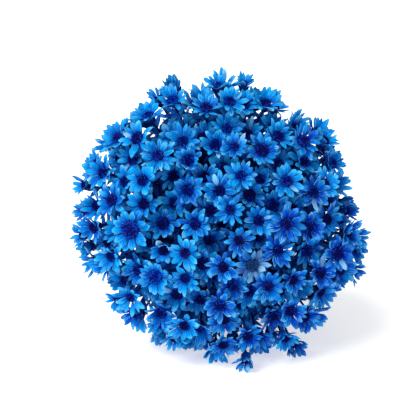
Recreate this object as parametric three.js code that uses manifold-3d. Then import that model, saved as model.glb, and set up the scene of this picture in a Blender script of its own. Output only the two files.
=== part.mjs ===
// A tied bunch of dried everlasting daisies, dyed blue, lying on its side with the flower heads forward.
// Lengths are millimetres and +Z is up. The head of the bunch faces -Y, its cut stems trail towards +Y,
// and the origin is on the table, in the middle of the bunch's footprint.
import * as THREE from 'three';
import Module from 'manifold-3d';

// The whole bunch
const sprigCount = 24;
const neckLength = 150; // from the band to the widest part of the head
const tailLength = 85; // from the band to the cut ends
const bundleRadius = 6.35; // to the middle of the outermost stem, inside the band
const neckFlare = 0.335; // how fast the stems spread from the band to the head
const tailFlare = 0.0744;
const axisTilt = THREE.MathUtils.degToRad(11); // how far the lying bunch rises towards its head
const bandHeight = 25.64; // of the band's middle above the table

// The head: a shallow dome of flowers that faces forward and a little up
const headRadius = 49.5; // to the middles of the rim flowers, as it appears from the front
const headDepth = 38;
const faceTilt = THREE.MathUtils.degToRad(16);
const eyeDistance = 500; // from which the apparent places below are seen
const backLean = THREE.MathUtils.degToRad(95); // the last flowers look a little backwards
const faceForward = 1; // how much a flower turns from the dome's outward direction to its stalk's
const flowerGap = 7.2; // least distance between the middles of two flowers, over the dome
const deepest = 19.5; // how far a flower may sit below the dome
const depthStep = 1.5;
const nearTable = 4.2; // a flower that hangs lower than this is laid on the table
const tries = 12000;

// One flower
const smallFlower = 9.8;
const largeFlower = 13.4;
const discShare = 0.36; // of the flower's width
const rimHeight = 0.5; // of the disc's edge above the petals' plane
const rimDrop = 0.7; // of the cup's edge below it
const discRise = 1.5;
const cupLength = 4.8;
const stalkRadius = 0.55;
const petalShare = 0.28; // of the flower's width
const petalShoulder = 0.66; // where a petal is widest, along its length

// Stems and leaves
const stemRadius = 0.95;
const stemTopRadius = 0.75;
const stemSides = 4;
const stemBends = [-45, -6, 6, 25, 50, 80, 110]; // along the bunch, where a stem changes direction
const leafLength = 13;
const leafWidth = 2.4;
const leafThickness = 1;
const leafPlaces = [96]; // along the bunch, from the band

// The elastic band, wound four times round the stems
const bandTurns = 4;
const bandPitch = 1.5;
const bandInside = 7.85;
const bandOutside = 9.5;
const bandSides = 14;

// The flowers that give the head its outline and its largest faces: across, up and width, seen from the front.
// Two of them have a large disc, given as a share of their width.
const landmarks = [
  [-33.5, -3.5, 15, 0.48], [24.8, -1.3, 14], [22, -11.7, 13], [-24.4, -21.1, 12.8, 0.45], [-12.1, 11.3, 12.6],
  [14.8, -0.4, 12], [1, -17.5, 12], [-9.7, -1.5, 12], [7.6, 16.7, 11.8], [11.4, 9.4, 11.6],
  [3.7, 4, 11.3], [7, -7.7, 11.3], [-28.9, 14.9, 12], [-21.2, -11.2, 11.6], [-13.4, -22.3, 11.6],
  [-0.1, -31.8, 12], [37.3, -19.8, 12], [26.3, -33.8, 12.3], [16.1, 15.7, 10.8], [5.4, 27.7, 10.5],
  [-47, -2.7, 12], [10.2, -43.1, 10.8], [27, -22.3, 10.8], [-0.8, 50, 10.5], [9.7, 53.4, 9.2],
  [22.3, 45, 9.6], [28.8, 37, 9.6], [38.9, 29.5, 10.5], [42.9, 21.4, 10.5], [46.9, 3.3, 10.4],
  [51.2, -6.7, 11.5], [49.9, -18.8, 11], [41.9, -26.8, 10.2], [24.3, -43.9, 10.5], [9.7, -50.9, 10.4],
  [1.2, -47.1, 11], [-16.9, -44.1, 10.2], [-22.6, -38.4, 10], [-38.5, -30.3, 10.5], [-48, -15.7, 11],
  [-53.4, -5.7, 11], [-53.4, 3.3, 10.2], [-51.5, 13.4, 10.5], [-48, 21.4, 10.5], [-35.5, 35.5, 10.5],
  [-23.4, 46, 10], [-19.4, 50.6, 9.6],
];
// Bumps and dips in the head's outline: direction in degrees, height as a share of the radius, width in degrees
const lobes = [
  [10, -0.06, 14], [58, -0.09, 9], [84, 0.05, 10], [101, -0.1, 5], [110, 0.08, 6], [130, -0.04, 6],
  [165, 0.05, 18], [190, 0.03, 8], [209, -0.14, 7], [237, -0.08, 9], [259, -0.13, 5], [280, 0.1, 7],
  [290, -0.1, 5], [300, 0.05, 5], [324, -0.05, 8], [345, 0.12, 8],
];

const golden = Math.PI * (3 - Math.sqrt(5));
const wasm = await Module();
wasm.setup();

// Evenly spread numbers from 0 to 1, the same on every run
let seed = 1234;
function random() {
  seed = (Math.imul(seed, 1664525) + 1013904223) >>> 0;
  return seed / 4294967296;
}

// Places are worked out in the bunch's own frame: x across, y up from the lying side, z along the stems
// from the band towards the head. The dome has its own directions in that frame.
const headMiddle = new THREE.Vector3(0, 0, neckLength);
const lean = faceTilt - axisTilt;
const headUp = new THREE.Vector3(0, Math.cos(lean), -Math.sin(lean));
const headFront = new THREE.Vector3(0, Math.sin(lean), Math.cos(lean));
const worldUp = new THREE.Vector3(0, Math.cos(axisTilt), Math.sin(axisTilt));

function height(point) {
  return bandHeight + point.dot(worldUp);
}

// Every stem and stalk keeps its own share of the bunch's radius, so none crosses another
function bunchRadius(z) {
  return Math.hypot(bundleRadius, z * (z < 0 ? tailFlare : neckFlare));
}

function onFlow(share, z) {
  return new THREE.Vector3(share.x * bunchRadius(z), share.y * bunchRadius(z), z);
}

function shareOf(point) {
  return new THREE.Vector2(point.x, point.y).divideScalar(bunchRadius(point.z));
}

// How far the head reaches in a direction, as a share of its radius
function reachTowards(round) {
  const degrees = THREE.MathUtils.radToDeg(round);
  return lobes.reduce((share, [at, rise, wide]) => {
    const away = Math.abs(((degrees - at + 540) % 360) - 180);
    return share + rise * Math.exp(-((away / wide) ** 2));
  }, 1);
}

// A point and outward direction on the dome, from the angle off its middle and the direction round it
function onDome(off, round) {
  const radius = headRadius * reachTowards(round) * (1 + headDepth / eyeDistance);
  const across = radius * Math.sin(off);
  const outward = Math.sin(off) / radius;
  const point = fromHead(across * Math.cos(round), across * Math.sin(round), headDepth * Math.cos(off));
  const normal = fromHead(outward * Math.cos(round), outward * Math.sin(round), Math.cos(off) / headDepth);
  return { point, off, normal: normal.sub(headMiddle).normalize() };
}

function fromHead(across, up, front) {
  return headMiddle.clone()
    .add(new THREE.Vector3(across, 0, 0))
    .addScaledVector(headUp, up)
    .addScaledVector(headFront, front);
}

// The angle off the dome's middle of a flower that appears at this share of the head's reach
function offMiddle(share) {
  const nearer = 1 - Math.sqrt(1 - Math.min(share, 0.999) ** 2);
  const spread = (1 + (headDepth * nearer) / eyeDistance) / (1 + headDepth / eyeDistance);
  return Math.asin(Math.min(share * spread, 0.999));
}

// Two directions square to a flower's own
function crossAxes(normal) {
  const side = new THREE.Vector3(0, 1, 0).cross(normal);
  if (side.length() < 0.2) side.set(1, 0, 0);
  side.normalize();
  return [side, normal.clone().cross(side)];
}

// A flower at a place on the dome, sunk below it by depth
function makeFlower(place, width, draws, depth, ownDiscShare) {
  const inward = onFlow(shareOf(place.point), place.point.z - 1).sub(place.point).normalize();
  const normal = place.normal.clone().addScaledVector(inward, -faceForward);
  const [side, up] = crossAxes(normal.clone().normalize());
  normal.addScaledVector(side, 0.34 * (draws[0] - 0.5)).addScaledVector(up, 0.34 * (draws[1] - 0.5)).normalize();
  const middle = place.point.clone().addScaledVector(inward, depth);
  const disc = (width / 2) * (ownDiscShare ?? discShare * (0.85 + 0.3 * draws[2]));
  const open = THREE.MathUtils.degToRad(8 + 24 * place.off ** 2 / 2.4 + 14 * draws[3]);
  const reach = width / 2 - disc;
  const flower = { middle, normal, width, disc, open, reach, spin: draws[4] * 6.283 };
  flower.petals = width > 13.5 ? 7 : width > 12 ? 6 : 5;
  restOnTable(flower);
  flower.stalkTop = middle.clone().addScaledVector(normal, -cupLength);
  flower.share = shareOf(flower.stalkTop);
  flower.leanPoint = onFlow(flower.share, Math.min(leanStart(flower.share), flower.stalkTop.z - 2));
  return flower;
}

// Lifts a flower that would reach below the table, and turns it to rest on the tip of one petal
function restOnTable(flower) {
  const { middle, normal, disc, open, reach, petals } = flower;
  const tipRadius = disc + reach * Math.cos(open);
  const facing = normal.dot(worldUp);
  const lowest = height(middle) + facing * reach * Math.sin(open) - tipRadius * Math.sqrt(1 - facing * facing);
  if (lowest > nearTable) return;
  middle.addScaledVector(worldUp, -lowest);
  const [across, above] = crossAxes(normal);
  flower.spin = Math.atan2(-worldUp.dot(above), -worldUp.dot(across)) - Math.PI / petals;
}

// The place along the bunch that is below every nearby flower, where a stalk may lean to its branch
function leanStart(share) {
  const out = Math.min(share.length() / 1.157 + 0.2, 1);
  return neckLength + headDepth * Math.sqrt(1 - out * out) - 24;
}

// Balls that fill a flower: its open face and cup first, then its stalk
function ballsOf(flower) {
  const [side, up] = crossAxes(flower.normal);
  const face = [];
  for (const share of [0.25, 0.5, 0.75, 1]) {
    const out = flower.disc + flower.reach * share * Math.cos(flower.open);
    const rise = flower.reach * share * Math.sin(flower.open);
    for (let k = 0; k < 14; k++) {
      const angle = (k / 14) * 2 * Math.PI;
      const point = flower.middle.clone()
        .addScaledVector(side, out * Math.cos(angle))
        .addScaledVector(up, out * Math.sin(angle))
        .addScaledVector(flower.normal, rise);
      face.push([point, 0.72]);
    }
  }
  face.push([flower.middle.clone().addScaledVector(flower.normal, 0.4), flower.disc]);
  face.push([flower.middle.clone().addScaledVector(flower.normal, -1.4), flower.disc * 0.85]);
  face.push([flower.middle.clone().addScaledVector(flower.normal, -3), flower.disc * 0.55]);
  const stalk = [];
  const steps = Math.ceil(flower.stalkTop.distanceTo(flower.leanPoint) / 2);
  for (let k = 0; k <= steps; k++) stalk.push([flower.stalkTop.clone().lerp(flower.leanPoint, k / steps), 0.6]);
  return { face, stalk };
}

function touch(some, others) {
  const clearance = 0.35;
  return some.some(([a, ra]) => others.some(([b, rb]) => a.distanceTo(b) < ra + rb + clearance));
}

function clash(flower, others) {
  return others.some((other) => {
    if (flower.middle.distanceTo(other.middle) > 50) return false;
    const { face, stalk } = flower.balls;
    return touch(face, other.balls.face) || touch(face, other.balls.stalk) || touch(stalk, other.balls.face);
  });
}

// Puts a flower on the dome, or as far below it as its neighbours ask. Returns false where there is no room.
function addFlower(flowers, place, width, ownDiscShare) {
  const draws = [random(), random(), random(), random(), random()];
  for (let depth = 0; depth <= deepest; depth += depthStep) {
    const flower = makeFlower(place, width, draws, depth, ownDiscShare);
    flower.balls = ballsOf(flower);
    if (clash(flower, flowers)) continue;
    flowers.push({ ...flower, dome: place.point, depth });
    return true;
  }
  return false;
}

function growFlowers() {
  const flowers = [];
  for (const [across, up, width, ownDiscShare] of landmarks) {
    const round = Math.atan2(up, across);
    const share = Math.hypot(across, up) / headRadius / reachTowards(round);
    addFlower(flowers, onDome(offMiddle(share), round), width, ownDiscShare);
  }
  for (let k = 0; k < tries; k++) {
    const off = Math.acos(1 - random() * (1 - Math.cos(backLean)));
    const round = 2 * Math.PI * random();
    const width = largeFlower + (smallFlower - largeFlower) * (0.75 * Math.sqrt(k / tries) + 0.25 * random());
    const place = onDome(off, round);
    const near = flowers.some((other) => other.dome.distanceTo(place.point) < flowerGap);
    if (!near) addFlower(flowers, place, width);
  }
  return flowers;
}

// The middle of each sprig, as a share of the bunch's radius: laid out like the seeds of a sunflower
function sprigShares() {
  return Array.from({ length: sprigCount }, (_, k) => {
    const out = Math.sqrt((k + 0.5) / sprigCount);
    return new THREE.Vector2(out * Math.cos(k * golden), out * Math.sin(k * golden));
  });
}

function nearestTo(share, shares) {
  const away = shares.map((other) => other.distanceTo(share));
  return away.indexOf(Math.min(...away));
}

// A closed mesh under construction
class Shell {
  points = [];
  faces = [];

  add(point) {
    this.points.push(point);
    return this.points.length - 1;
  }

  // A ring that runs anticlockwise as seen from the side it faces
  ring(middle, side, up, radius, sides, otherRadius = radius) {
    return Array.from({ length: sides }, (_, k) => {
      const angle = (2 * Math.PI * k) / sides;
      const point = middle.clone()
        .addScaledVector(side, radius * Math.cos(angle))
        .addScaledVector(up, otherRadius * Math.sin(angle));
      return this.add(point);
    });
  }

  // The wall between two rings that may differ in their number of points
  bridge(lower, upper) {
    let i = 0;
    let j = 0;
    while (i < lower.length || j < upper.length) {
      const a = lower[i % lower.length];
      const b = upper[j % upper.length];
      if ((i + 1) / lower.length <= (j + 1) / upper.length) {
        i += 1;
        this.faces.push([a, lower[i % lower.length], b]);
      } else {
        j += 1;
        this.faces.push([a, upper[j % upper.length], b]);
      }
    }
  }

  fan(ring, tip) {
    ring.forEach((point, k) => this.faces.push([point, ring[(k + 1) % ring.length], tip]));
  }

  cap(ring) {
    for (let k = 1; k + 1 < ring.length; k++) this.faces.push([ring[0], ring[k], ring[k + 1]]);
  }

  // Carries a ring along a line of points, each with its own radius, and closes the far end
  sweep(ring, side, points, radii, sides = ring.length) {
    let last = ring;
    const across = side.clone();
    for (let k = 1; k < points.length; k++) {
      const before = points[k].clone().sub(points[k - 1]).normalize();
      const after = k + 1 < points.length ? points[k + 1].clone().sub(points[k]).normalize() : before;
      const along = before.clone().add(after).normalize();
      across.addScaledVector(along, -across.dot(along)).normalize();
      const next = this.ring(points[k], across, along.clone().cross(across), radii[k], sides);
      this.bridge(last, next);
      last = next;
    }
    this.cap(last);
  }

  solid() {
    const vertProperties = new Float32Array(this.points.flatMap((point) => point.toArray()));
    const triVerts = new Uint32Array(this.faces.flat());
    return new wasm.Manifold(new wasm.Mesh({ numProp: 3, vertProperties, triVerts }));
  }
}

function rod(points, radii, sides) {
  const shell = new Shell();
  const along = points[1].clone().sub(points[0]).normalize();
  const [side] = crossAxes(along);
  const first = shell.ring(points[0], side, along.clone().cross(side), radii[0], sides);
  shell.cap([...first].reverse());
  shell.sweep(first, side, points, radii);
  return shell.solid();
}

// One petal between two points of the disc's edge and the two points of the cup below them
function addPetal(shell, flower, out, [topRight, topLeft], [cupRight, cupLeft]) {
  const { middle, normal, disc, open, reach, width } = flower;
  const along = out.clone().multiplyScalar(Math.cos(open)).addScaledVector(normal, Math.sin(open));
  const toLeft = normal.clone().cross(out).multiplyScalar((width * petalShare) / 2);
  const root = middle.clone().addScaledVector(out, disc);
  const shoulder = root.clone().addScaledVector(along, reach * petalShoulder).addScaledVector(normal, 0.3);
  const right = shell.add(shoulder.clone().sub(toLeft));
  const left = shell.add(shoulder.clone().add(toLeft));
  const tip = shell.add(root.clone().addScaledVector(along, reach));
  shell.faces.push([topRight, right, tip], [topRight, tip, topLeft], [topLeft, tip, left]);
  shell.faces.push([cupRight, tip, right], [cupRight, cupLeft, tip], [cupLeft, left, tip]);
  shell.faces.push([topRight, cupRight, right], [topLeft, left, cupLeft]);
}

// One open flower and its stalk, down to the joint with the sprig's stem
function flowerSolid(flower, joint) {
  const { middle, normal, disc, petals, spin } = flower;
  const shell = new Shell();
  const [across, above] = crossAxes(normal);
  const side = across.clone().multiplyScalar(Math.cos(spin)).addScaledVector(above, Math.sin(spin));
  const up = normal.clone().cross(side);
  const raised = (rise) => middle.clone().addScaledVector(normal, rise);
  const top = shell.ring(raised(rimHeight), side, up, disc, petals);
  const cup = shell.ring(raised(-rimDrop), side, up, disc * 0.9, petals);
  shell.fan(top, shell.add(raised(discRise)));
  for (let k = 0; k < petals; k++) {
    const next = (k + 1) % petals;
    const angle = (2 * Math.PI * (k + 0.5)) / petals;
    const out = side.clone().multiplyScalar(Math.cos(angle)).addScaledVector(up, Math.sin(angle));
    addPetal(shell, flower, out, [top[k], top[next]], [cup[k], cup[next]]);
  }
  const back = [cup[0], ...cup.slice(1).reverse()];
  const path = [raised(-rimDrop), flower.stalkTop, flower.leanPoint, joint];
  shell.sweep(back, side, path, path.map(() => stalkRadius), 3);
  return shell.solid();
}

// A stem from its cut end to the highest joint
function stemPoints(share, end, top) {
  const places = [end, ...stemBends.filter((z) => z > end + 4 && z < top - 4), top];
  return places.map((z) => onFlow(share, z));
}

function pointAt(points, z) {
  const k = Math.max(1, points.findIndex((point) => point.z >= z));
  const [a, b] = [points[k - 1], points[k]];
  return a.clone().lerp(b, (z - a.z) / (b.z - a.z));
}

function leafSolid(root, round) {
  const shell = new Shell();
  const out = new THREE.Vector3(Math.cos(round), Math.sin(round), 0);
  const along = out.clone().multiplyScalar(0.36).add(new THREE.Vector3(0, 0, 1)).normalize();
  const side = new THREE.Vector3(-Math.sin(round), Math.cos(round), 0);
  const widest = root.clone().addScaledVector(along, leafLength * 0.45);
  const up = along.clone().cross(side);
  const ring = shell.ring(widest, side, up, leafWidth / 2, 4, leafThickness / 2);
  shell.fan(ring, shell.add(root.clone().addScaledVector(along, leafLength)));
  shell.fan([...ring].reverse(), shell.add(root.clone()));
  return shell.solid();
}

// How far along the bunch a stalk meets its stem: the further it has to lean, the lower
function jointPlace(flower, share) {
  const lean = flower.share.distanceTo(share) * bunchRadius(flower.leanPoint.z);
  return flower.leanPoint.z - 6 - 1.1 * lean;
}

function sprigSolid(share, ownFlowers, end) {
  const joints = ownFlowers.map((flower) => jointPlace(flower, share));
  const top = Math.max(...joints) + 0.8;
  const points = stemPoints(share, end, top);
  const radii = points.map((point) => THREE.MathUtils.mapLinear(point.z, end, top, stemRadius, stemTopRadius));
  const grown = [rod(points, radii, stemSides)];
  ownFlowers.forEach((flower, k) => grown.push(flowerSolid(flower, pointAt(points, joints[k]))));
  for (const place of leafPlaces) grown.push(leafSolid(pointAt(points, place), 2 * Math.PI * random()));
  return wasm.Manifold.union(grown);
}

// The turns of the band as one ribbed ring
function bandSolid() {
  const half = (bandTurns * bandPitch) / 2;
  const outline = [[bandInside, half], [bandInside, -half], [bandOutside - 0.6, -half]];
  for (let k = 0; k < bandTurns; k++) {
    outline.push([bandOutside, -half + (k + 0.5) * bandPitch]);
    outline.push([bandOutside - 0.6, -half + (k + 1) * bandPitch]);
  }
  return wasm.Manifold.revolve([outline], bandSides);
}

function toMesh(solid, name, material) {
  const { vertProperties, triVerts } = solid.getMesh();
  const geometry = new THREE.BufferGeometry();
  geometry.setAttribute('position', new THREE.BufferAttribute(new Float32Array(vertProperties), 3));
  geometry.setIndex(new THREE.BufferAttribute(new Uint32Array(triVerts), 1));
  const mesh = new THREE.Mesh(geometry, material);
  mesh.name = name;
  return mesh;
}

function petalMaterial(share) {
  const lit = new THREE.Color('#2a92e2');
  const shaded = new THREE.Color('#125fc0');
  const color = shaded.lerp(lit, THREE.MathUtils.clamp(0.5 - 0.4 * share.x + 0.25 * share.y, 0, 1));
  return new THREE.MeshStandardMaterial({ color, roughness: 0.8, metalness: 0 });
}

// Turns the bunch's own frame into the table's, then puts the origin under the middle of the bunch
function layOnTable(meshes) {
  const across = new THREE.Vector3(1, 0, 0);
  const up = new THREE.Vector3(0, Math.sin(axisTilt), Math.cos(axisTilt));
  const frame = new THREE.Matrix4().makeBasis(across, up, across.clone().cross(up));
  const box = new THREE.Box3();
  for (const mesh of meshes) {
    mesh.geometry.applyMatrix4(frame).translate(0, 0, bandHeight);
    box.expandByObject(mesh);
  }
  const middle = box.getCenter(new THREE.Vector3());
  for (const mesh of meshes) mesh.geometry.translate(-middle.x, -middle.y, -box.min.z).computeVertexNormals();
}

const flowers = growFlowers();
const shares = sprigShares();
const meshes = shares.map((share, k) => {
  const ownFlowers = flowers.filter((flower) => nearestTo(flower.share, shares) === k);
  const end = -tailLength + (share.y < -0.6 ? 0 : 9 * random());
  const name = `sprig_${String(k + 1).padStart(2, '0')}`;
  return toMesh(sprigSolid(share, ownFlowers, end), name, petalMaterial(share));
});
const rubber = new THREE.MeshStandardMaterial({ color: '#b08d57', roughness: 0.7, metalness: 0 });
meshes.push(toMesh(bandSolid(), 'band', rubber));
layOnTable(meshes);

const bunch = new THREE.Group();
bunch.name = 'dried_daisy_bunch';
bunch.add(...meshes);
export default bunch;
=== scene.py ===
import math
from functools import partial

import bpy
import numpy as np
from mathutils import Matrix, Vector


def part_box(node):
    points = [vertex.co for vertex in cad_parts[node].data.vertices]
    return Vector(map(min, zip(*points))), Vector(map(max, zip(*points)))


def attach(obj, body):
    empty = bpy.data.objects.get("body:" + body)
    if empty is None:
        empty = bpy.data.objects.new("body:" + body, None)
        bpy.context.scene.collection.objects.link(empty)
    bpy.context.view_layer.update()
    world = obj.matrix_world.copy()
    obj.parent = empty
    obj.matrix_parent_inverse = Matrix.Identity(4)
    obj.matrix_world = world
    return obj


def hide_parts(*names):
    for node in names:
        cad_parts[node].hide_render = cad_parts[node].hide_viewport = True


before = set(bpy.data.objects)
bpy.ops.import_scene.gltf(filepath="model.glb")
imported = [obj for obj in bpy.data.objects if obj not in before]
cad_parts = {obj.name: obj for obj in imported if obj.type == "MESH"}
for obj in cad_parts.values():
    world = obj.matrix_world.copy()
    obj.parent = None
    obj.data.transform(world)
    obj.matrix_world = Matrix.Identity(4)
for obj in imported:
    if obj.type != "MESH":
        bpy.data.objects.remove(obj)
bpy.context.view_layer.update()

# The bunch, in mm and in its own directions: x across, y up from the side it lies on,
# z along the stems from the band towards the head
bunch = {
    "sprigs": 24,
    "neckLength": 150,
    "tailLength": 85,
    "bundleRadius": 6.35,
    "neckFlare": 0.335,
    "tailFlare": 0.0744,
    "axisTilt": math.radians(11),
    "bandHeight": 25.64,
    "headRadius": 49.5,
    "headDepth": 38,
    "faceTilt": math.radians(16),
    "eyeDistance": 500,
    "backLean": math.radians(95),
    "faceForward": 1,
    "flowerGap": 7.2,
    "deepest": 19.5,
    "depthStep": 1.5,
    "nearTable": 4.2,
    "tries": 12000,
    "clearance": 0.35,
    "seed": 1234,
}
flowerForm = {
    "small": 9.8,
    "large": 13.4,
    "discShare": 0.36,  # of the flower's width
    "cupLength": 4.8,
    "nod": 0.34,  # how far it leans any way off the dome's own direction
    "petalBall": 0.72,  # mm, the clear space kept round its petals and round its stalk
    "stalkBall": 0.6,
}

# Flowers placed one by one, as seen from the front in mm: across, up, width, and a large disc's share of it
landmarks = [
    (-33.5, -3.5, 15, 0.48), (24.8, -1.3, 14), (22, -11.7, 13), (-24.4, -21.1, 12.8, 0.45),
    (-12.1, 11.3, 12.6), (14.8, -0.4, 12), (1, -17.5, 12), (-9.7, -1.5, 12), (7.6, 16.7, 11.8),
    (11.4, 9.4, 11.6), (3.7, 4, 11.3), (7, -7.7, 11.3), (-28.9, 14.9, 12), (-21.2, -11.2, 11.6),
    (-13.4, -22.3, 11.6), (-0.1, -31.8, 12), (37.3, -19.8, 12), (26.3, -33.8, 12.3), (16.1, 15.7, 10.8),
    (5.4, 27.7, 10.5), (-47, -2.7, 12), (10.2, -43.1, 10.8), (27, -22.3, 10.8), (-0.8, 50, 10.5),
    (9.7, 53.4, 9.2), (22.3, 45, 9.6), (28.8, 37, 9.6), (38.9, 29.5, 10.5), (42.9, 21.4, 10.5),
    (46.9, 3.3, 10.4), (51.2, -6.7, 11.5), (49.9, -18.8, 11), (41.9, -26.8, 10.2), (24.3, -43.9, 10.5),
    (9.7, -50.9, 10.4), (1.2, -47.1, 11), (-16.9, -44.1, 10.2), (-22.6, -38.4, 10),
    (-38.5, -30.3, 10.5), (-48, -15.7, 11), (-53.4, -5.7, 11), (-53.4, 3.3, 10.2), (-51.5, 13.4, 10.5),
    (-48, 21.4, 10.5), (-35.5, 35.5, 10.5), (-23.4, 46, 10), (-19.4, 50.6, 9.6),
]
# Bumps and dips of the head's outline: direction in degrees, height in radii, and width in degrees
lobes = [
    (10, -0.06, 14), (58, -0.09, 9), (84, 0.05, 10), (101, -0.1, 5), (110, 0.08, 6), (130, -0.04, 6),
    (165, 0.05, 18), (190, 0.03, 8), (209, -0.14, 7), (237, -0.08, 9), (259, -0.13, 5), (280, 0.1, 7),
    (290, -0.1, 5), (300, 0.05, 5), (324, -0.05, 8), (345, 0.12, 8),
]

goldenAngle = math.pi * (3 - math.sqrt(5))
lean = bunch["faceTilt"] - bunch["axisTilt"]
headMiddle = np.array([0, 0, bunch["neckLength"]], float)
headUp = np.array([0, math.cos(lean), -math.sin(lean)])
headFront = np.array([0, math.sin(lean), math.cos(lean)])
tableUp = np.array([0, math.cos(bunch["axisTilt"]), math.sin(bunch["axisTilt"])])

# The bunch's own directions in the room, and the middle of the band, where its frame starts
bunchAxes = np.array([[1, 0, 0], [0, tableUp[2], tableUp[1]], [0, -tableUp[1], tableUp[2]]], float)
bandLow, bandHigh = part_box("band")
bandMiddle = np.array((bandLow + bandHigh) / 2)


def toRoom(points):  # from mm in the bunch's own frame to metres in the room
    return bandMiddle + points @ bunchAxes / 1000


draw = {"value": bunch["seed"]}


# Numbers from 0 to 1, the same on every run: the last state times a constant, plus another
def nextDraw():
    draw["value"] = (draw["value"] * 1664525 + 1013904223) % 4294967296
    return draw["value"] / 4294967296


def unit(v):
    return v / np.sqrt((v * v).sum(-1, keepdims=True))


def evenTurns(count):
    return np.arange(count) / count * 2 * math.pi


def bunchRadius(z):  # the square root of the bundle's own radius squared plus the flare's squared
    flare = np.where(z < 0, bunch["tailFlare"], bunch["neckFlare"])
    return np.hypot(bunch["bundleRadius"], z * flare)


# A stem's place at height z: it keeps its share of the bunch's radius all the way
def onFlow(share, z):
    radius = bunchRadius(z)
    return np.stack([share[..., 0] * radius, share[..., 1] * radius, z + 0 * radius], -1)


def shareOf(point):
    return point[:2] / bunchRadius(point[2])


# How far the head reaches in a direction, in radii: one, plus a bell curve for each lobe
def reachTowards(turn):
    share = 1
    for at, rise, wide in lobes:
        away = abs((math.degrees(turn) - at + 540) % 360 - 180)
        share += rise * math.exp(-((away / wide) ** 2))
    return share


def fromHead(across, up, front):
    return headMiddle + np.array([across, 0, 0]) + headUp * up + headFront * front


# A point of the dome, an ellipsoid, by its angle off the middle and the direction round it. The normal is the
# point divided by the radii squared.
def onDome(off, turn):
    radius = bunch["headRadius"] * reachTowards(turn) * (1 + bunch["headDepth"] / bunch["eyeDistance"])
    across = radius * math.sin(off)
    outward = math.sin(off) / radius
    point = fromHead(across * math.cos(turn), across * math.sin(turn), bunch["headDepth"] * math.cos(off))
    tip = fromHead(outward * math.cos(turn), outward * math.sin(turn), math.cos(off) / bunch["headDepth"])
    return {"point": point, "off": off, "normal": unit(tip - headMiddle)}


# The angle off the middle of a place seen at a share of the head's radius: nearer places look larger
def offMiddle(share):
    depth = bunch["headDepth"] / bunch["eyeDistance"]
    nearer = 1 - math.sqrt(1 - min(share, 0.999) ** 2)
    return math.asin(min(share * (1 + depth * nearer) / (1 + depth), 0.999))


def crossAxes(normal):  # two directions square to a flower's own
    side = np.cross([0, 1, 0], normal)
    side = unit(side) if side @ side >= 0.04 else np.array([1.0, 0, 0])
    return side, np.cross(normal, side)


def leanStart(share):  # below every nearby flower, where a stalk may lean to its branch
    out = min(math.hypot(*share) / 1.157 + 0.2, 1)
    return bunch["neckLength"] + bunch["headDepth"] * math.sqrt(1 - out * out) - 24


def makeFlower(place, width, draws, depth, ownDiscShare):
    point = place["point"]
    inward = unit(onFlow(shareOf(point), point[2] - 1) - point)
    normal = place["normal"] - inward * bunch["faceForward"]
    side, up = crossAxes(unit(normal))
    nod = flowerForm["nod"]
    normal = unit(normal + side * nod * (draws[0] - 0.5) + up * nod * (draws[1] - 0.5))
    flower = {"middle": point + inward * depth, "normal": normal, "width": width, "off": place["off"]}
    flower["disc"] = width / 2 * (ownDiscShare or flowerForm["discShare"] * (0.85 + 0.3 * draws[2]))
    flower["reach"] = width / 2 - flower["disc"]
    flower["open"] = math.radians(8 + 24 * place["off"] ** 2 / 2.4 + 14 * draws[3])
    flower["spin"] = draws[4] * 6.283
    flower["firstPetal"] = math.pi / (7 if width > 13.5 else 6 if width > 12 else 5)
    restOnTable(flower)
    flower["stalkTop"] = flower["middle"] - normal * flowerForm["cupLength"]
    flower["share"] = shareOf(flower["stalkTop"])
    flower["leanPoint"] = onFlow(flower["share"], min(leanStart(flower["share"]), flower["stalkTop"][2] - 2))
    return flower


# Sets a flower that comes near the table down on it, and turns one petal straight down
def restOnTable(flower):
    facing = flower["normal"] @ tableUp
    tipRadius = flower["disc"] + flower["reach"] * math.cos(flower["open"])
    lowest = bunch["bandHeight"] + flower["middle"] @ tableUp
    lowest += facing * flower["reach"] * math.sin(flower["open"]) - tipRadius * math.sqrt(1 - facing * facing)
    if lowest <= bunch["nearTable"]:
        flower["middle"] = flower["middle"] - tableUp * lowest
        across, above = crossAxes(flower["normal"])
        flower["spin"] = math.atan2(-tableUp @ above, -tableUp @ across) - flower["firstPetal"]


# Balls that fill a flower, its open face and cup first, in rings along the petals, and its stalk next. Each row
# holds a ball's middle, its radius and the flower's own middle.
ringTurns = np.tile(evenTurns(14), 4)[:, None]
ringShares = np.repeat([0.25, 0.5, 0.75, 1], 14)[:, None]
cupHeights = np.array([[0.4], [-1.4], [-3]])
cupShares = np.array([1, 0.85, 0.55])


def ballsOf(flower):
    middle, normal = flower["middle"], flower["normal"]
    side, up = crossAxes(normal)
    out = flower["disc"] + flower["reach"] * ringShares * math.cos(flower["open"])
    rise = flower["reach"] * ringShares * math.sin(flower["open"])
    petals = middle + side * out * np.cos(ringTurns) + up * out * np.sin(ringTurns) + normal * rise
    points = np.concatenate([petals, middle + normal * cupHeights])
    radii = np.concatenate([np.full(len(petals), flowerForm["petalBall"]), flower["disc"] * cupShares])
    down = flower["leanPoint"] - flower["stalkTop"]
    steps = math.ceil(math.sqrt(down @ down) / 2)
    along = np.arange(steps + 1)[:, None] / steps
    stalkRadii = np.full(steps + 1, flowerForm["stalkBall"])
    both = (points, radii), (flower["stalkTop"] + down * along, stalkRadii)
    return [np.column_stack([at, radius, np.tile(middle, (len(at), 1))]) for at, radius in both]


def touch(some, others):
    apart = np.sqrt(((some[:, None, :3] - others[None, :, :3]) ** 2).sum(2))
    return bool((apart < some[:, None, 3] + others[None, :, 3] + bunch["clearance"]).any())


# Balls between two corners whose own flower is within 50 mm
def near(balls, middle, low, high):
    some = balls[((balls[:, :3] > low) & (balls[:, :3] < high)).all(1)]
    return some[((some[:, 4:] - middle) ** 2).sum(1) <= 50 ** 2]


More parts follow.
